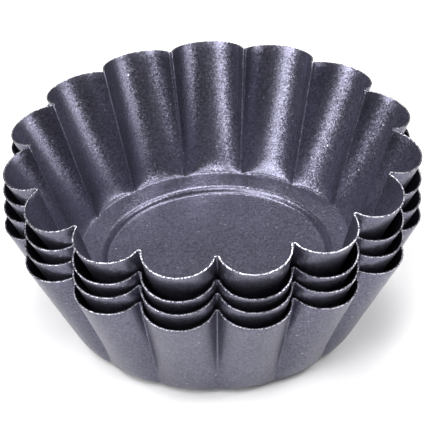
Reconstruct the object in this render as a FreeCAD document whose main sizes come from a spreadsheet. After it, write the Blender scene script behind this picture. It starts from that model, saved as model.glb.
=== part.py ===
"""Nested stack of four fluted tart pans, each pressed from one disc of coated sheet steel.

Frame: millimetres, +Z up, origin at the middle of the underside of the lowest pan, where the
stack stands. A pleat of that pan points along -Y.

One pan is the difference of two forms: the outer form is its outside, the inner form is the
space it holds, one sheet thickness inside the first. All four pans share those two forms.
"""
import FreeCAD, Part
import math
import os
import Sketcher

SIZES = [
    # alias, value, note
    ("flutes", 15, "lobes round the wall"),
    ("thickness", 0.4, "sheet and coating, square to the sheet"),
    ("wall_across", 0.43, "the same sheet measured level, through the sloping wall"),
    ("first_lobe", 90, "direction of the first lobe, degrees, which puts a pleat at -90"),
    ("rim_height", 32.3, "top of the pleats above the ground"),
    ("rim_pleat_radius", 43.55, "radius at which the rim starts to fall"),
    ("rim_fall", 0.323, "fall of the rim per millimetre of radius"),
    ("crown_height", 34, "upper outline of the wall, above the trimmed rim"),
    ("crown_tip_radius", 52, "lobe tip at the upper outline"),
    ("crown_pleat_radius", 44.36, "pleat bottom at the upper outline"),
    ("crown_pleat_bend", 0.3, "bend of the pleat at the upper outline"),
    ("ground_tip_radius", 33.94, "lobe tip carried down to the ground"),
    ("ground_pleat_radius", 33.21, "pleat bottom carried down to the ground"),
    ("ground_pleat_bend", 1.36, "bend of the pleat carried down to the ground"),
    ("disc_radius", 26.6, "sunken middle of the floor"),
    ("shoulder_radius", 27.4, "inner edge of the raised ring of the floor"),
    ("ring_height", 1.8, "upper side of the raised ring above the ground"),
    ("ring_radius", 33.5, "outer edge of the raised ring"),
    ("foot_rise", 0.81, "rise of the sloping foot per millimetre of radius"),
    ("foot_reach", 40, "radius beyond which the foot meets no metal"),
    ("disc_bend", 0.8, "inside bend where the sunken disc meets its step"),
    ("shoulder_bend", 1.6, "outside bend where the step meets the raised ring"),
    ("cut_margin", 5, "how far a cutting outline reaches past the metal"),
]

# A loose nested stack never sits square. Each pan's lift above the lowest, its rim's shift along X
# and Y in millimetres, and its lean about X and Y in degrees.
STACK = {
    "bottom_pan": {"lift": 0, "shift_x": 0, "shift_y": 0, "lean_x": 0, "lean_y": 0},
    "second_pan": {"lift": 5.05, "shift_x": 0, "shift_y": 0.05, "lean_x": 0.62, "lean_y": 0},
    "third_pan": {"lift": 10.42, "shift_x": 0.03, "shift_y": 0.13, "lean_x": 2.66, "lean_y": -0.37},
    "top_pan": {"lift": 15.7, "shift_x": 0.08, "shift_y": -0.2, "lean_x": 0.55, "lean_y": -1.45},
}

# Sketcher's numbers for a curve's start, end and middle, and for a sketch's own X axis and origin
START, END, MIDDLE = 1, 2, 3
X_AXIS = -1
ORIGIN = (X_AXIS, START)

# Turns of the floor's outline, as expressions on the sheet: from the disc up into its step, and
# from the raised ring up into the sloping foot.
STEP_TURN = "atan2(Sizes.ring_height - Sizes.thickness; Sizes.shoulder_radius - Sizes.disc_radius)"
FOOT_TURN = "atan(Sizes.foot_rise)"

# Edges are the same one when their radius and height differ by less than this, in millimetres
SAME_EDGE = 1e-3


def make_sheet(doc):
    sheet = doc.addObject("Spreadsheet::Sheet", "Sizes")
    places = [("%s_%s" % (pan, key), value, "")
              for pan, place in STACK.items() for key, value in place.items()]
    for row, (alias, value, note) in enumerate(SIZES + places, start=1):
        sheet.set("A%d" % row, alias)
        sheet.set("B%d" % row, str(value))
        sheet.set("C%d" % row, note)
        sheet.setAlias("B%d" % row, alias)
    doc.recompute()
    return sheet


def new_sketch(body, name, plane_role):
    planes = {feature.Role: feature for feature in body.Origin.OriginFeatures}
    sketch = body.newObject("Sketcher::SketchObject", name)
    sketch.AttachmentSupport = [(planes[plane_role], "")]
    sketch.MapMode = "FlatFace"
    return sketch


def bind(sketch, name, expression, kind, *where):
    """Add a dimension called name, and bind it to an expression on the sheet."""
    value = float(sketch.evalExpression(expression))
    if kind == "Angle":
        value = math.radians(value)
    index = sketch.addConstraint(Sketcher.Constraint(kind, *where, value))
    sketch.renameConstraint(index, name)
    sketch.setExpression("Constraints." + name, expression)


def flute_outline(body, name, height, tip, pleat, bend):
    """Sketch one flute as a sector: two halves of a pleat, the lobe between them and two rays.

    The lobe is symmetric about the sketch's X axis, and the pleats' middles lie on the rays.
    """
    sketch = new_sketch(body, name, "XY_Plane")
    normal = FreeCAD.Vector(0, 0, 1)
    sketch.AttachmentOffset = FreeCAD.Placement(FreeCAD.Vector(), FreeCAD.Rotation(normal, 90))
    sketch.setExpression("AttachmentOffset.Rotation.Angle", "Sizes.first_lobe")
    sketch.setExpression("AttachmentOffset.Base.z", height)
    tip_radius, pleat_radius, pleat_bend = [float(sketch.evalExpression(text)) for text in (tip, pleat, bend)]
    half = math.pi / float(sketch.evalExpression("Sizes.flutes"))

    # The lobe's radius follows from tangency with the pleats: it solves this linear equation.
    reach = pleat_radius + pleat_bend
    across = tip_radius - reach * math.cos(half)
    aside = reach * math.sin(half)
    lobe_radius = (across ** 2 + aside ** 2 - pleat_bend ** 2) / (2 * (across + pleat_bend))
    middle = FreeCAD.Vector(tip_radius - lobe_radius, 0, 0)

    lobe_turn = math.atan2(aside, reach * math.cos(half) - middle.x)
    lobe_circle = Part.Circle(middle, normal, lobe_radius)
    lobe = sketch.addGeometry(Part.ArcOfCircle(lobe_circle, -lobe_turn, lobe_turn))
    tip_point = sketch.addGeometry(Part.Point(FreeCAD.Vector(tip_radius, 0, 0)), True)
    rays = []
    pleats = []
    for side in (1, -1):
        ray = FreeCAD.Vector(math.cos(half), side * math.sin(half), 0)
        rays.append(sketch.addGeometry(Part.LineSegment(FreeCAD.Vector(0, 0, 0), ray * pleat_radius)))
        ends = sorted([math.pi + side * half, math.pi + side * lobe_turn])
        pleat_circle = Part.Circle(ray * reach, normal, pleat_bend)
        pleats.append(sketch.addGeometry(Part.ArcOfCircle(pleat_circle, *ends)))

    sketch.addConstraint(Sketcher.Constraint("PointOnObject", tip_point, START, X_AXIS))
    sketch.addConstraint(Sketcher.Constraint("PointOnObject", tip_point, START, lobe))
    bind(sketch, "tip", tip, "DistanceX", *ORIGIN, tip_point, START)
    for ray, arc, ray_side, lobe_side in zip(rays, pleats, (START, END), (END, START)):
        sketch.addConstraint(Sketcher.Constraint("Coincident", ray, START, *ORIGIN))
        sketch.addConstraint(Sketcher.Constraint("Coincident", ray, END, arc, ray_side))
        sketch.addConstraint(Sketcher.Constraint("PointOnObject", arc, MIDDLE, ray))
        sketch.addConstraint(Sketcher.Constraint("Tangent", arc, lobe_side, lobe, lobe_side))
    bind(sketch, "half_flute", "180 / Sizes.flutes", "Angle", X_AXIS, START, rays[0], START)
    sketch.addConstraint(Sketcher.Constraint("Symmetric", rays[0], END, rays[1], END, X_AXIS))
    bind(sketch, "pleat", pleat, "Distance", rays[0], START, rays[0], END)
    bind(sketch, "bend", bend, "Radius", pleats[0])
    sketch.addConstraint(Sketcher.Constraint("Equal", *pleats))
    return sketch


def turned_profile(body, name, corners):
    """Sketch a closed outline in the XZ plane, each corner bound to the sheet by radius and height."""
    sketch = new_sketch(body, name, "XZ_Plane")
    points = []
    for radius, height in corners:
        place = float(sketch.evalExpression(radius)), float(sketch.evalExpression(height))
        points.append(FreeCAD.Vector(*place, 0))
    lines = []
    for index, point in enumerate(points):
        following = points[(index + 1) % len(points)]
        lines.append(sketch.addGeometry(Part.LineSegment(point, following)))
    for index, line in enumerate(lines):
        following = lines[(index + 1) % len(lines)]
        sketch.addConstraint(Sketcher.Constraint("Coincident", line, END, following, START))
        radius, height = corners[index]
        bind(sketch, "radius%d" % index, radius, "DistanceX", *ORIGIN, line, START)
        bind(sketch, "height%d" % index, height, "DistanceY", *ORIGIN, line, START)
    return sketch


def turned_cut(body, name, corners):
    """Cut a turned outline from the body, all round its axis."""
    before = body.Shape.Volume
    profile = turned_profile(body, name + "_profile", corners)
    groove = body.newObject("PartDesign::Groove", name)
    groove.Profile = profile
    groove.ReferenceAxis = (profile, ["V_Axis"])
    groove.Angle = 360
    body.Document.recompute()
    if not body.Shape.Volume < before:
        raise RuntimeError("%s removes nothing from %s" % (name, body.Label))


def fluted_form(doc, name, inset, widening):
    """A solid fluted cone on the ground: one flute lofted between two outlines, then repeated round.

    inset and widening end the expressions of the radii and of the pleat's bend. The inner form's
    lie one sheet further in, so its radii shrink and its pleats bend wider.
    """
    body = doc.addObject("PartDesign::Body", name)
    low = flute_outline(
        body, name + "_ground_outline", "0 mm", "Sizes.ground_tip_radius" + inset,
        "Sizes.ground_pleat_radius" + inset, "Sizes.ground_pleat_bend" + widening)
    high = flute_outline(
        body, name + "_crown_outline", "Sizes.crown_height", "Sizes.crown_tip_radius" + inset,
        "Sizes.crown_pleat_radius" + inset, "Sizes.crown_pleat_bend" + widening)
    flute = body.newObject("PartDesign::AdditiveLoft", name + "_flute")
    flute.Profile = low
    flute.Sections = [high]
    flute.Ruled = True
    doc.recompute()
    wall = body.newObject("PartDesign::PolarPattern", name + "_wall")
    wall.Originals = [flute]
    wall.Axis = (low, ["N_Axis"])
    wall.Angle = 360
    wall.setExpression("Occurrences", "Sizes.flutes")
    body.Tip = wall
    doc.recompute()
    return body


def cut_floor(body, name, drop, corner_shift, foot_shift, disc_bend, shoulder_bend):
    """Cut the floor's turned shape from below: sunken disc, raised ring and sloping foot.

    drop lowers the whole floor. corner_shift and foot_shift move its corners outwards, which keeps
    the outer form one sheet thickness away from the inner form. The two bends are of the step.
    """
    disc = "Sizes.disc_radius + " + corner_shift
    shoulder = "Sizes.shoulder_radius + " + corner_shift
    ring = "Sizes.ring_radius + " + foot_shift
    disc_height = "Sizes.thickness - " + drop
    ring_height = "Sizes.ring_height - " + drop
    foot = "Sizes.foot_reach"
    foot_height = "%s + Sizes.foot_rise * (%s - (%s))" % (ring_height, foot, ring)
    below = "-Sizes.cut_margin"
    corners = [(disc, disc_height), (shoulder, ring_height), (ring, ring_height),
               (foot, foot_height), (foot, below), ("0", below), ("0", disc_height)]
    turned_cut(body, name, corners)
    soften_step(body, name + "_disc_bend", disc, disc_height, disc_bend)
    soften_step(body, name + "_shoulder_bend", shoulder, ring_height, shoulder_bend)


def trim_rim(body, name):
    """Cut the outer form to its rim: level inside the pleats, then falling outwards to the lobe tips."""
    outside = "Sizes.crown_tip_radius + Sizes.cut_margin"
    rim_outside = "Sizes.rim_height - Sizes.rim_fall * (%s - Sizes.rim_pleat_radius)" % outside
    above = "Sizes.crown_height + Sizes.cut_margin"
    corners = [("0", "Sizes.rim_height"), ("Sizes.rim_pleat_radius", "Sizes.rim_height"),
               (outside, rim_outside), (outside, above), ("0", above)]
    turned_cut(body, name, corners)


def soften_step(body, name, radius, height, bend):
    """Fillet the round edge at the given radius and height: aliases or expressions of the sheet."""
    radius = float(body.evalExpression(radius))
    height = float(body.evalExpression(height))
    edges = []
    for index, edge in enumerate(body.Shape.Edges, start=1):
        curve = edge.Curve
        if not isinstance(curve, Part.Circle):
            continue
        if math.hypot(curve.Radius - radius, curve.Center.z - height) < SAME_EDGE:
            edges.append("Edge%d" % index)
    base = body.Tip
    fillet = body.newObject("PartDesign::Fillet", name)
    fillet.Base = (base, edges)
    fillet.setExpression("Radius", bend)
    body.Document.recompute()


def parallel_shift(turn):
    """How far out a corner moves when both of its sides move down by the thickness, square to themselves."""
    return "Sizes.thickness * tan((%s) / 2)" % turn


def make_forms(doc):
    """The outer form, cut to its rim and underside, and the inner form, which is the space inside."""
    outer = fluted_form(doc, "outer_form", "", "")
    trim_rim(outer, "rim_trim")
    cut_floor(outer, "underside", "Sizes.thickness", parallel_shift(STEP_TURN), parallel_shift(FOOT_TURN),
              "Sizes.disc_bend + Sizes.thickness", "Sizes.shoulder_bend - Sizes.thickness")
    inner = fluted_form(doc, "inner_form", " - Sizes.wall_across", " + Sizes.wall_across")
    cut_floor(inner, "floor", "0", "0", "0", "Sizes.disc_bend", "Sizes.shoulder_bend")
    return outer, inner


def make_pan(doc, outer, inner, name):
    """One pressed pan, leaned about the middle of its rim and lifted into the stack."""
    pan = doc.addObject("Part::Cut", name)
    pan.Base = outer
    pan.Tool = inner
    cells = {key: "Sizes.%s_%s" % (name, key) for key in STACK[name]}
    turn = "rotation(vector(1; 0; 0); {lean_x}) * rotation(vector(0; 1; 0); {lean_y})".format(**cells)
    place = "vector({shift_x}; {shift_y}; {lift})".format(**cells)
    rim = "vector(0; 0; Sizes.rim_height)"
    pan.setExpression("Placement", "placement(%s + %s - (%s) * %s; %s)" % (place, rim, turn, rim, turn))
    return pan


def check(doc, pans):
    doc.recompute()
    for item in doc.Objects:
        if "Invalid" in item.State or "Error" in item.State:
            raise RuntimeError("%s did not compute: %s" % (item.Label, item.State))
    for pan in pans:
        if pan.Shape.isNull() or not pan.Shape.isValid() or len(pan.Shape.Solids) != 1:
            raise RuntimeError("%s is not one valid solid" % pan.Label)


def main():
    doc = FreeCAD.newDocument("tart_pans")
    make_sheet(doc)
    outer, inner = make_forms(doc)
    pans = [make_pan(doc, outer, inner, name) for name in STACK]
    check(doc, pans)
    os.makedirs("parts", exist_ok=True)
    for pan in pans:
        pan.Shape.exportStep("parts/%s.step" % pan.Label)
        box = pan.Shape.optimalBoundingBox()
        ends = [box.XMin, box.XMax, box.YMin, box.YMax, box.ZMin, box.ZMax]
        print(pan.Label, "volume", round(pan.Shape.Volume, 1), "faces", len(pan.Shape.Faces),
              "box", [round(end, 2) for end in ends])


main()
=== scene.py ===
"""Nested stack of four fluted tart pans in coated steel, on a pale table.

Each pan is one closed surface worked out from the same few sizes as the CAD model: a fluted wall
ruled between two outlines, a stepped turned floor, and the cut edge of the sheet at the rim.
"""

import math

import bpy
import numpy as np
from bpy.props import FloatProperty, FloatVectorProperty, IntProperty, PointerProperty
from mathutils import Euler, Matrix, Vector


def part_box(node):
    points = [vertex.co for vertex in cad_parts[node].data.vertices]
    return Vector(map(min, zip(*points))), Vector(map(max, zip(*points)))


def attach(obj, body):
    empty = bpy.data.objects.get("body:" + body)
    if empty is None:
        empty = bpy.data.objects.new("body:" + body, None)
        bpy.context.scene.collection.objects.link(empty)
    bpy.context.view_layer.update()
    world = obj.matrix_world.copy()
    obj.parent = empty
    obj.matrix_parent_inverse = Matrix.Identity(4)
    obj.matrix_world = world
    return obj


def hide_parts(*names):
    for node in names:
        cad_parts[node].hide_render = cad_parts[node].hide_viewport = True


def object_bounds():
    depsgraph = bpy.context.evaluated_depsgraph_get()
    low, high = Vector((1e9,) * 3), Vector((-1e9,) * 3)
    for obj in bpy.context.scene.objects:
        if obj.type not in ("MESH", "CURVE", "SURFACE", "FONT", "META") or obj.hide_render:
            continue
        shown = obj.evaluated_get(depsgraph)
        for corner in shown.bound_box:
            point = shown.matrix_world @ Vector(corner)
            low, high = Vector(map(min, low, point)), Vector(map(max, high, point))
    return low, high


bl_info = {
    "name": "Fluted tart pans",
    "version": (1, 0, 0),
    "blender": (4, 5, 0),
    "location": "3D View > Sidebar > Tart Pans",
    "description": "Builds a nested stack of pressed fluted tart pans and a plain studio for it",
    "category": "Add Mesh",
}

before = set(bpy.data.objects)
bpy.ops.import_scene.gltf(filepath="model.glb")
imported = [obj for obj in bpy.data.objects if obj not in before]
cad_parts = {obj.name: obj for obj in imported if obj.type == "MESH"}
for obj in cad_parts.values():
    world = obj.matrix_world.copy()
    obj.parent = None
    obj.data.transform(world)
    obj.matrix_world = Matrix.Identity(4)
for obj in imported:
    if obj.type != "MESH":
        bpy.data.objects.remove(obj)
CAD_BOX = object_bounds()

MM = 0.001

# How each pan sits in the stack: lift above the lowest pan, shift of its rim along X and Y (mm),
# and lean about X and Y (degrees). A loose nested stack never sits quite square.
STACK = {
    "bottom_pan": {"lift": 0, "shift": (0, 0), "lean": (0, 0)},
    "second_pan": {"lift": 5.05, "shift": (0, 0.05), "lean": (0.62, 0)},
    "third_pan": {"lift": 10.42, "shift": (0.03, 0.13), "lean": (2.66, -0.37)},
    "top_pan": {"lift": 15.7, "shift": (0.08, -0.2), "lean": (0.55, -1.45)},
}
BOX_TOLERANCE = 0.3 * MM

# Steps of the surface grid, and the rows of the disc as shares of its radius
LOBE_STEPS = 24
PLEAT_STEPS = 10
CORNER_STEPS = 9
WALL_STEPS = 14
LIP_STEPS = 2
DISC_SHARES = (0.02, 0.2, 0.5, 0.8)

# Least reach of the sloping foot, where a pleat comes close to the raised ring
LEAST_FOOT = 0.9 * MM
# Rounds in which an end of the wall closes in on the turned surface that it ends on
MEETING_ROUNDS = 60

# The coating's slow change of tone, and the depth of the tears along the cut edge
CLOUDS_PER_METRE = 90.0
TEAR_DEPTH = 0.1 * MM

# Softboxes round the table: direction (degrees from the front towards the right, degrees above the
# table), edge of the square box in metres, and power in watts
SOFTBOXES = {
    "key_softbox": (313, 29, 0.7, 14),
    "left_softbox": (280, 52, 0.5, 11),
    "front_softbox": (350, 58, 0.45, 8),
    "right_softbox": (78, 48, 0.5, 10),
    "low_right_softbox": (65, 10, 0.6, 7),
    "overhead_softbox": (165, 68, 0.6, 12),
}
SOFTBOX_DISTANCE = 1.3

# Strength of the white room's own light, and the table's reach from its middle in metres
ROOM_LIGHT = 0.05
TABLE_REACH = 3.0

# The camera's sensor width in millimetres, how far it sees in metres, and the point it aims at,
# counted from the middle of the stack
SENSOR_WIDTH = 36
CAMERA_SIGHT = 10
CAMERA_AIM = (2.7 * MM, 0.4 * MM, 0.6 * MM)


# ---------------------------------------------------------------- sizes and finishes

def length(name, description, millimetres):
    """A length property with its default given in millimetres."""
    return FloatProperty(name=name, description=description, default=millimetres * MM,
                         unit="LENGTH", precision=5)


def linear(hex_code):
    """Turns an sRGB hex value such as "6b6878" into linear red, green and blue.

    A channel is c / 12.92 up to 0.04045, and ((c + 0.055) / 1.055) to the power 2.4 above it.
    """
    channels = np.array([int(hex_code[place:place + 2], 16) for place in (0, 2, 4)]) / 255
    bright = ((channels + 0.055) / 1.055) ** 2.4
    return tuple(np.where(channels <= 0.04045, channels / 12.92, bright).tolist())


def colour(name, description, hex_code):
    """A colour property with its default given as an sRGB hex value."""
    return FloatVectorProperty(name=name, description=description, default=linear(hex_code), size=3,
                               min=0, max=1, subtype="COLOR")


class PanSizes(bpy.types.PropertyGroup):
    """Sizes of one pan; a reach is how far a bend starts or ends from the corner that it rounds"""

    flutes: IntProperty(name="Flutes", description="Lobes round the wall", default=15, min=3)
    thickness: length("Sheet", "Sheet and coating, square to the sheet", 0.4)
    wall_across: length("Sheet Across", "The sheet measured level, through the sloping wall", 0.43)
    rim_height: length("Rim Height", "Top of the pleats above the ground", 32.3)
    rim_pleat_radius: length("Rim Pleat Radius", "Radius at which the rim starts to fall", 43.55)
    rim_fall: FloatProperty(name="Rim Fall", description="Fall of the rim for its reach outwards",
                            default=0.323)
    crown_height: length("Crown Height", "Upper outline of the wall, above the trimmed rim", 34)
    crown_tip: length("Crown Tip", "Lobe tip at the upper outline", 52)
    crown_pleat: length("Crown Pleat", "Pleat bottom at the upper outline", 44.36)
    crown_bend: length("Crown Bend", "Bend of the pleat at the upper outline", 0.3)
    ground_tip: length("Ground Tip", "Lobe tip carried down to the ground", 33.94)
    ground_pleat: length("Ground Pleat", "Pleat bottom carried down to the ground", 33.21)
    ground_bend: length("Ground Bend", "Bend of the pleat carried down to the ground", 1.36)
    disc_radius: length("Disc Radius", "Sunken middle of the floor", 26.6)
    shoulder_radius: length("Shoulder Radius", "Inner edge of the raised ring of the floor", 27.4)
    ring_height: length("Ring Height", "Upper side of the raised ring above the ground", 1.8)
    ring_radius: length("Ring Radius", "Outer edge of the raised ring", 33.5)
    foot_rise: FloatProperty(name="Foot Rise", description="Rise of the sloping foot for its reach",
                             default=0.81)
    disc_bend: length("Disc Bend", "Inside bend where the disc meets its step", 0.8)
    shoulder_bend: length("Shoulder Bend", "Outside bend where the step meets the ring", 1.6)
    toe_inside: length("Toe Inside", "Reach of the bend from ring to foot, seen from inside", 0.5)
    toe_outside: length("Toe Outside", "Reach of the same bend on the underside", 1.7)
    heel_inside: length("Heel Inside", "Reach of the bend from foot to wall, seen from inside", 2.6)
    heel_outside: length("Heel Outside", "Reach of the same bend on the outside", 3.6)
    lip: length("Lip", "Rounding of the two arrises of the cut edge", 0.06)


class PanFinish(bpy.types.PropertyGroup):
    """Colours and grain of the coating, the cut edge and the table"""

    coating_dark: colour("Coating Dark", "Darkest flakes of the coating", "50505c")
    coating: colour("Coating", "Most of the coating", "605f6f")
    coating_pale: colour("Coating Pale", "Palest common flakes of the coating", "6f6e7e")
    fleck: colour("Fleck", "Rare flakes that lie on top of the coating", "aeacba")
    # Real flakes are nearer 0.1 mm apart, a guess. They are drawn coarser than real, because finer
    # ones would be too small to show.
    flake_size: length("Flake Size", "Distance between neighbouring flakes", 0.33)
    flake_tilt: FloatProperty(name="Flake Tilt", description="How far flakes lie out of the surface",
                              default=math.radians(7), subtype="ANGLE")
    peel_size: length("Peel Size", "Distance between the bumps of the orange peel", 0.6)
    peel_depth: length("Peel Depth", "Height of the bumps of the orange peel", 0.03)
    edge_dark: colour("Edge Dark", "Cut edge where coating was torn over it", "4c4a58")
    edge_bright: colour("Edge Bright", "Cut edge where bare steel shows", "dddce4")
    burr_size: length("Burr Size", "Distance between bright places along the cut edge", 0.4)
    table: colour("Table", "Table top", "e6e6e6")


class StudioSizes(bpy.types.PropertyGroup):
    """Where the camera stands and how it sees"""

    azimuth: FloatProperty(name="Azimuth", description="Way the camera looks, from +Y towards +X",
                           default=math.radians(1.19), subtype="ANGLE")
    elevation: FloatProperty(name="Elevation", description="Camera above the horizon",
                             default=math.radians(35.0), subtype="ANGLE")
    roll: FloatProperty(name="Roll", description="Camera's turn about its line of sight",
                        default=math.radians(-0.75), subtype="ANGLE")
    distance: length("Distance", "Camera from the middle of the stack", 962)
    lens: FloatProperty(name="Lens", description="Focal length on a 36 mm sensor, in millimetres",
                        default=321)


# ---------------------------------------------------------------- the pan's surface

def level_outline(sizes, tip, pleat, bend, inset):
    """One level outline of the wall as complex numbers x + iy, one for each column of the grid.

    Every flute is a lobe arc and a pleat arc that touch. The lobe's middle lies on the flute's own
    ray, the pleat's half a flute further on. inset makes lobes smaller and pleats larger by the
    same amount, which keeps a parallel curve.
    """
    half = math.pi / sizes.flutes
    reach = pleat + bend
    across = tip - reach * math.cos(half)
    lobe = (across ** 2 + (reach * math.sin(half)) ** 2 - bend ** 2) / (2 * (across + bend))
    middle = tip - lobe
    turn = math.atan2(reach * math.sin(half), reach * math.cos(half) - middle)
    lobe_angles = turn * np.linspace(-1, 1, LOBE_STEPS + 1)
    pleat_angles = math.pi + half + (turn - half) * np.linspace(1, -1, PLEAT_STEPS + 1)[1:-1]
    lobe_points = middle + (lobe - inset) * np.exp(1j * lobe_angles)
    pleat_points = reach * np.exp(1j * half) + (bend + inset) * np.exp(1j * pleat_angles)
    flute = np.concatenate([lobe_points, pleat_points])
    rays = np.exp(1j * (math.pi / 2 + 2 * half * np.arange(sizes.flutes)))
    return (rays[:, None] * flute).ravel()


def corner(before, point, after, reach_in, reach_out, steps=CORNER_STEPS):
    """Rows of a rounded corner: a parabola from the line before-point to the line point-after.

    The points are (complex place, height) pairs of arrays. The parabola starts reach_in before the
    corner point and ends reach_out after it, and touches both lines.
    """
    rows = []
    starts = toward(point, before, reach_in)
    ends = toward(point, after, reach_out)
    for share in np.linspace(0, 1, steps + 1):
        weights = ((1 - share) ** 2, 2 * share * (1 - share), share ** 2)
        rows.append(tuple(sum(weight * part for weight, part in zip(weights, parts))
                          for parts in zip(starts, point, ends)))
    return rows


def toward(start, end, reach):
    """The point that lies reach from start on the line to end, for pairs (complex place, height)."""
    across = end[0] - start[0]
    up = end[1] - start[1]
    share = reach / np.sqrt(np.abs(across) ** 2 + up ** 2)
    return start[0] + share * across, start[1] + share * up


def step_turn(sizes):
    """Angle by which the floor turns up from the disc into its step: atan(rise / reach)."""
    return math.atan2(sizes.ring_height - sizes.thickness, sizes.shoulder_radius - sizes.disc_radius)


def meridian_rows(sizes, inset, drop, shifts, step_bends, foot_bends):
    """Rows of one side of the sheet, from near the middle of the floor out to the rim.

    shifts move the step's and the foot's corners outwards. step_bends are the radii of the bends at
    disc and shoulder, each of which reaches radius * tan(turn / 2) from its corner. foot_bends are
    the reaches of the toe's bend, between ring and foot, and of the heel's, between foot and wall.

    The wall is ruled: place(height) = ground outline + (crown outline - ground outline) * height /
    crown height. It ends on two turned surfaces, the sloping foot below and the rim's cone above,
    whose heights depend on the radius alone. Each end is found by repeating height =
    surface(radius of place(height)), which closes in because both surfaces are flatter than the wall.
    """
    ground = level_outline(sizes, sizes.ground_tip, sizes.ground_pleat, sizes.ground_bend, inset)
    crown = level_outline(sizes, sizes.crown_tip, sizes.crown_pleat, sizes.crown_bend, inset)
    corner_shift, foot_shift = shifts
    disc_bend, shoulder_bend = step_bends
    toe_bend, heel_bend = foot_bends
    ring_height = sizes.ring_height - drop
    ring_radius = sizes.ring_radius + foot_shift

    def wall(height):
        return ground + (crown - ground) * height / sizes.crown_height

    def foot(radius):
        return ring_height + sizes.foot_rise * np.maximum(radius - ring_radius, 0)

    def rim(radius):
        return sizes.rim_height - sizes.rim_fall * np.maximum(radius - sizes.rim_pleat_radius, 0)

    low = np.full(len(ground), ring_height)
    high = np.full(len(ground), sizes.rim_height)
    for _ in range(MEETING_ROUNDS):
        low = foot(np.abs(wall(low)))
        high = rim(np.abs(wall(high)))
    base = wall(low)
    out = base / np.abs(base)
    level = np.ones(len(out))

    disc_height = sizes.thickness - drop
    disc = (sizes.disc_radius + corner_shift) * out, disc_height * level
    shoulder = (sizes.shoulder_radius + corner_shift) * out, ring_height * level
    middle = 0 * out, disc_height * level
    toe_radius = np.minimum(ring_radius, np.abs(base) - LEAST_FOOT)
    toe = toe_radius * out, ring_height * level
    heel = base, low
    top = wall(high), high
    slope = np.hypot(np.abs(heel[0] - toe[0]), heel[1] - toe[1])
    toe_reach = np.minimum(toe_bend, slope / 2)
    # On a foot as short as this one, the heel's bend starts where the toe's ends. The row of faces
    # between their two like rows of vertices then has no area.
    heel_reach = np.minimum(heel_bend, slope - toe_reach)
    disc_reach = disc_bend * math.tan(step_turn(sizes) / 2)
    shoulder_reach = shoulder_bend * math.tan(step_turn(sizes) / 2)

    rows = [(disc[0] * share, disc[1]) for share in DISC_SHARES]
    rows += corner(middle, disc, shoulder, disc_reach, disc_reach)
    rows += corner(disc, shoulder, toe, shoulder_reach, shoulder_reach)
    rows += corner(shoulder, toe, heel, toe_bend, toe_reach)
    rows += corner(toe, heel, top, heel_reach, heel_bend)
    start = rows[-1]
    for share in np.linspace(0, 1, WALL_STEPS + 1)[1:-1]:
        height = start[1] + (high - start[1]) * share
        rows.append((wall(height), height))
    return rows, top


def pan_surface(sizes):
    """Vertices and faces of one pan in its own frame, origin under its floor.

    With them comes a flag for each face, true on the cut edge.

    The grid runs from the middle of the floor up the inside, over the cut edge, down the outside
    and back to the middle of the underside. Columns run round counter-clockwise.
    """
    sheet = sizes.thickness
    foot_turn = math.atan(sizes.foot_rise)
    shifts = sheet * math.tan(step_turn(sizes) / 2), sheet * math.tan(foot_turn / 2)
    inside, inner_edge = meridian_rows(
        sizes, sizes.wall_across, 0, (0, 0), (sizes.disc_bend, sizes.shoulder_bend),
        (sizes.toe_inside, sizes.heel_inside))
    outside, outer_edge = meridian_rows(
        sizes, 0, sheet, shifts, (sizes.disc_bend + sheet, sizes.shoulder_bend - sheet),
        (sizes.toe_outside, sizes.heel_outside))
    lip = sizes.lip
    rim = corner(inside[-1], inner_edge, outer_edge, lip, lip, steps=LIP_STEPS)
    rim += corner(inner_edge, outer_edge, outside[-1], lip, lip, steps=LIP_STEPS)
    rows = inside + rim + outside[::-1]
    rim_rows = range(len(inside), len(inside) + len(rim) - 1)

    places = np.array([place for place, _ in rows])
    heights = np.array([height for _, height in rows])
    columns = places.shape[1]
    grid = np.stack([places.real, places.imag, heights], axis=-1).reshape(-1, 3)
    poles = np.array([[0, 0, heights[0, 0]], [0, 0, heights[-1, 0]]])
    vertices = np.vstack([grid, poles])

    here = np.arange(columns)
    after = (here + 1) % columns
    starts = np.arange(len(rows) - 1)[:, None] * columns
    nexts = starts + columns
    quads = np.stack([starts + here, nexts + here, nexts + after, starts + after], axis=-1)
    last = (len(rows) - 1) * columns
    first_fan = np.stack([np.full(columns, len(grid)), here, after], axis=-1)
    last_fan = np.stack([np.full(columns, len(grid) + 1), last + after, last + here], axis=-1)
    rim_faces = np.zeros(quads.shape[:2], dtype=bool)
    rim_faces[list(rim_rows)] = True
    faces = quads.reshape(-1, 4).tolist() + first_fan.tolist() + last_fan.tolist()
    on_rim = np.concatenate([rim_faces.ravel(), np.zeros(2 * columns, dtype=bool)])
    return vertices, faces, on_rim


def placement(name, sizes):
    """The pan's place in the stack: a lean about the middle of its rim, then a lift and a shift."""
    place = STACK[name]
    lean_x, lean_y = [math.radians(angle) for angle in place["lean"]]
    rim = Matrix.Translation((0, 0, sizes.rim_height))
    turn = Matrix.Rotation(lean_x, 4, "X") @ Matrix.Rotation(lean_y, 4, "Y")
    shift = Matrix.Translation((place["shift"][0] * MM, place["shift"][1] * MM, place["lift"] * MM))
    return shift @ rim @ turn @ rim.inverted()


def check_place(name, vertices):
    """Stops the script if the surface does not fill the CAD node's own box."""
    low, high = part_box(name)
    gap = max(np.abs(vertices.min(axis=0) - low).max(), np.abs(vertices.max(axis=0) - high).max())
    if gap > BOX_TOLERANCE:
        raise RuntimeError("%s misses its CAD box by %.2f mm" % (name, gap / MM))


# ---------------------------------------------------------------- materials

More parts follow.
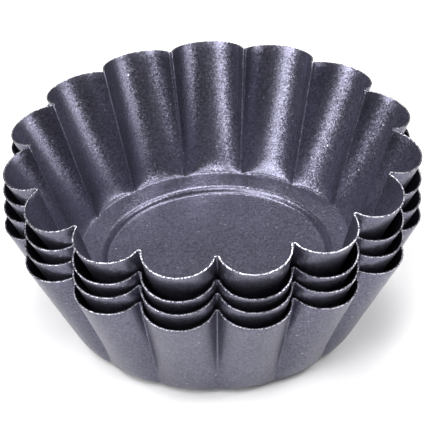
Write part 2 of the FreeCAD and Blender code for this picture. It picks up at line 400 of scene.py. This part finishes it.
def add_node(tree, kind, settings=None, inputs=None):
    """Adds a node. settings are its own properties; inputs are values or output sockets by input name."""
    node = tree.nodes.new(kind)
    for key, value in (settings or {}).items():
        setattr(node, key, value)
    for key, value in (inputs or {}).items():
        socket = node.inputs[key]
        if isinstance(value, bpy.types.NodeSocket):
            tree.links.new(value, socket)
        else:
            socket.default_value = value
    return node


def new_material(name):
    """A material with an empty node tree, and that tree."""
    material = bpy.data.materials.new(name)
    material.use_nodes = True
    material.node_tree.nodes.clear()
    return material, material.node_tree


def set_ramp(node, stops):
    """Gives a colour ramp its stops: (place, linear colour) pairs."""
    elements = node.color_ramp.elements
    while len(elements) < len(stops):
        elements.new(0.5)
    for element, (place, shade) in zip(elements, stops):
        element.position = place
        element.color = (*shade, 1)


def coated_steel(finish):
    """Baked non-stick coating on sheet steel, sprayed on before the pan was pressed.

    It gives a dark violet grey with mica flakes of slightly different greys, a few pale flecks, and
    an orange peel that breaks the satin highlights up into grains.
    """
    material, tree = new_material("sprayed_nonstick_coating")
    place = add_node(tree, "ShaderNodeTexCoord").outputs["Object"]
    flake = add_node(tree, "ShaderNodeTexVoronoi", {"feature": "F1"},
                     {"Vector": place, "Scale": 1 / finish.flake_size})
    chance = add_node(tree, "ShaderNodeSeparateColor", None, {"Color": flake.outputs["Color"]})
    shades = add_node(tree, "ShaderNodeValToRGB", None, {"Fac": chance.outputs["Red"]})
    set_ramp(shades, [(0.0, finish.coating_dark), (0.5, finish.coating), (0.998, finish.coating_pale),
                      (1.0, finish.fleck)])
    cloud = add_node(tree, "ShaderNodeTexNoise", None,
                     {"Vector": place, "Scale": CLOUDS_PER_METRE, "Detail": 3.0})
    tone = add_node(tree, "ShaderNodeMapRange", None,
                    {"Value": cloud.outputs["Fac"], "From Min": 0.3, "From Max": 0.7,
                     "To Min": 0.92, "To Max": 1.08})
    tint = add_node(tree, "ShaderNodeVectorMath", {"operation": "SCALE"},
                    {0: shades.outputs["Color"], "Scale": tone.outputs["Result"]})
    peel = add_node(tree, "ShaderNodeTexNoise", None,
                    {"Vector": place, "Scale": 1 / finish.peel_size, "Detail": 1.0})
    bump = add_node(tree, "ShaderNodeBump", None,
                    {"Height": peel.outputs["Fac"], "Strength": 1.0, "Distance": finish.peel_depth})
    # Each flake leans its own way: normal + tan(tilt) * (random colour - 1/2), made unit length again
    tilt = math.tan(finish.flake_tilt)
    lean = add_node(tree, "ShaderNodeVectorMath", {"operation": "MULTIPLY_ADD"},
                    {0: flake.outputs["Color"], 1: (tilt, tilt, tilt), 2: (-tilt / 2, -tilt / 2, -tilt / 2)})
    leaned = add_node(tree, "ShaderNodeVectorMath", {"operation": "ADD"},
                      {0: bump.outputs["Normal"], 1: lean.outputs["Vector"]})
    facing = add_node(tree, "ShaderNodeVectorMath", {"operation": "NORMALIZE"},
                      {0: leaned.outputs["Vector"]})
    rough = add_node(tree, "ShaderNodeMapRange", None,
                     {"Value": chance.outputs["Green"], "To Min": 0.29, "To Max": 0.37})
    shader = add_node(tree, "ShaderNodeBsdfPrincipled", None,
                      {"Base Color": tint.outputs["Vector"], "Metallic": 0.9,
                       "Roughness": rough.outputs["Result"], "Normal": facing.outputs["Vector"]})
    add_node(tree, "ShaderNodeOutputMaterial", None, {"Surface": shader.outputs["BSDF"]})
    return material


def cut_steel(finish):
    """Bare sheared edge of the sheet: bright steel in a broken line, where the coating tore over it."""
    material, tree = new_material("sheared_steel_edge")
    place = add_node(tree, "ShaderNodeTexCoord").outputs["Object"]
    tear = add_node(tree, "ShaderNodeTexNoise", None,
                    {"Vector": place, "Scale": 1 / finish.burr_size, "Detail": 1.0})
    shades = add_node(tree, "ShaderNodeValToRGB", None, {"Fac": tear.outputs["Fac"]})
    set_ramp(shades, [(0.42, finish.edge_dark), (0.6, finish.edge_bright)])
    bump = add_node(tree, "ShaderNodeBump", None,
                    {"Height": tear.outputs["Fac"], "Strength": 1.0, "Distance": TEAR_DEPTH})
    shader = add_node(tree, "ShaderNodeBsdfPrincipled", None,
                      {"Base Color": shades.outputs["Color"], "Metallic": 1.0, "Roughness": 0.38,
                       "Normal": bump.outputs["Normal"]})
    add_node(tree, "ShaderNodeOutputMaterial", None, {"Surface": shader.outputs["BSDF"]})
    return material


def matt_table(finish):
    """Matt white laminate table top: flat white, with no more than a faint sheen."""
    material, tree = new_material("matt_white_laminate")
    shader = add_node(tree, "ShaderNodeBsdfPrincipled", None,
                      {"Base Color": (*finish.table, 1), "Roughness": 0.6, "Specular IOR Level": 0.2})
    add_node(tree, "ShaderNodeOutputMaterial", None, {"Surface": shader.outputs["BSDF"]})
    return material


# ---------------------------------------------------------------- pieces

def new_object(name, vertices, faces, materials, material_index=None):
    """A smooth-shaded mesh object in the scene, with the number of a material for each face."""
    mesh = bpy.data.meshes.new(name)
    mesh.from_pydata(np.asarray(vertices).tolist(), [], faces)
    for material in materials:
        mesh.materials.append(material)
    if material_index is not None:
        mesh.polygons.foreach_set("material_index", np.asarray(material_index, dtype=np.int32))
    mesh.polygons.foreach_set("use_smooth", np.ones(len(mesh.polygons), dtype=bool))
    mesh.update()
    piece = bpy.data.objects.new(name, mesh)
    bpy.context.scene.collection.objects.link(piece)
    return piece


class BuildPans(bpy.types.Operator):
    """Build the four pans, each on its own body"""

    bl_idname = "tart_pans.build_pans"
    bl_label = "Build Pans"
    bl_options = {"REGISTER", "UNDO"}

    def execute(self, context):
        sizes = context.scene.pan_sizes
        vertices, faces, on_rim = pan_surface(sizes)
        finish = context.scene.pan_finish
        finishes = [coated_steel(finish), cut_steel(finish)]
        for name in STACK:
            place = np.array(placement(name, sizes))
            placed = vertices @ place[:3, :3].T + place[:3, 3]
            check_place(name, placed)
            piece = new_object(name + "_sheet", placed, faces, finishes, on_rim)
            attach(piece, name)
            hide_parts(name)
        return {"FINISHED"}


def softbox(name, aim, turn, rise, size, power):
    """A square area light that faces aim from the given direction."""
    light = bpy.data.lights.new(name, "AREA")
    light.size = size
    light.energy = power
    lamp = bpy.data.objects.new(name, light)
    turn = math.radians(turn)
    rise = math.radians(rise)
    away = Vector((math.sin(turn) * math.cos(rise), -math.cos(turn) * math.cos(rise), math.sin(rise)))
    lamp.location = aim + SOFTBOX_DISTANCE * away
    lamp.rotation_euler = (-away).to_track_quat("-Z", "Y").to_euler()
    bpy.context.scene.collection.objects.link(lamp)


class BuildStudio(bpy.types.Operator):
    """Build the table, the soft lights and the camera"""

    bl_idname = "tart_pans.build_studio"
    bl_label = "Build Studio"
    bl_options = {"REGISTER", "UNDO"}

    def execute(self, context):
        scene = context.scene
        studio = scene.pan_studio
        low, high = (Vector(end) for end in CAD_BOX)
        middle = (low + high) / 2
        corners = [(x * TABLE_REACH, y * TABLE_REACH, low.z)
                   for x, y in ((-1, -1), (1, -1), (1, 1), (-1, 1))]
        table = new_object("table_top", corners, [(0, 1, 2, 3)], [matt_table(scene.pan_finish)])

        world = bpy.data.worlds.new("soft_room")
        world.use_nodes = True
        room = world.node_tree.nodes["Background"]
        room.inputs["Color"].default_value = (1, 1, 1, 1)
        room.inputs["Strength"].default_value = ROOM_LIGHT
        scene.world = world
        for name, settings in SOFTBOXES.items():
            softbox(name, middle, *settings)

        camera_data = bpy.data.cameras.new("camera")
        camera_data.sensor_width = SENSOR_WIDTH
        camera_data.lens = studio.lens
        camera_data.clip_end = CAMERA_SIGHT
        camera = bpy.data.objects.new("camera", camera_data)
        sight = Euler((math.pi / 2 - studio.elevation, 0, -studio.azimuth)).to_matrix().to_4x4()
        sight = sight @ Matrix.Rotation(studio.roll, 4, "Z")
        aim = Matrix.Translation(middle + Vector(CAMERA_AIM))
        camera.matrix_world = aim @ sight @ Matrix.Translation((0, 0, studio.distance))
        scene.collection.objects.link(camera)
        scene.camera = camera
        scene.view_settings.view_transform = "Standard"
        return {"FINISHED"}


class TartPansPanel(bpy.types.Panel):
    """The pans' sizes, the studio and the buttons that build them"""

    bl_idname = "VIEW3D_PT_tart_pans"
    bl_label = "Tart Pans"
    bl_space_type = "VIEW_3D"
    bl_region_type = "UI"
    bl_category = "Tart Pans"

    def draw(self, context):
        for group in (context.scene.pan_sizes, context.scene.pan_finish, context.scene.pan_studio):
            box = self.layout.box()
            for key in group.__annotations__:
                box.prop(group, key)
        self.layout.operator(BuildPans.bl_idname)
        self.layout.operator(BuildStudio.bl_idname)


CLASSES = (PanSizes, PanFinish, StudioSizes, BuildPans, BuildStudio, TartPansPanel)


def register():
    for cls in CLASSES:
        bpy.utils.register_class(cls)
    bpy.types.Scene.pan_sizes = PointerProperty(type=PanSizes)
    bpy.types.Scene.pan_finish = PointerProperty(type=PanFinish)
    bpy.types.Scene.pan_studio = PointerProperty(type=StudioSizes)


def unregister():
    del bpy.types.Scene.pan_studio
    del bpy.types.Scene.pan_finish
    del bpy.types.Scene.pan_sizes
    for cls in reversed(CLASSES):
        bpy.utils.unregister_class(cls)


def main():
    """Builds everything."""
    register()
    bpy.ops.tart_pans.build_pans()
    bpy.ops.tart_pans.build_studio()


if __name__ == "__main__":
    main()
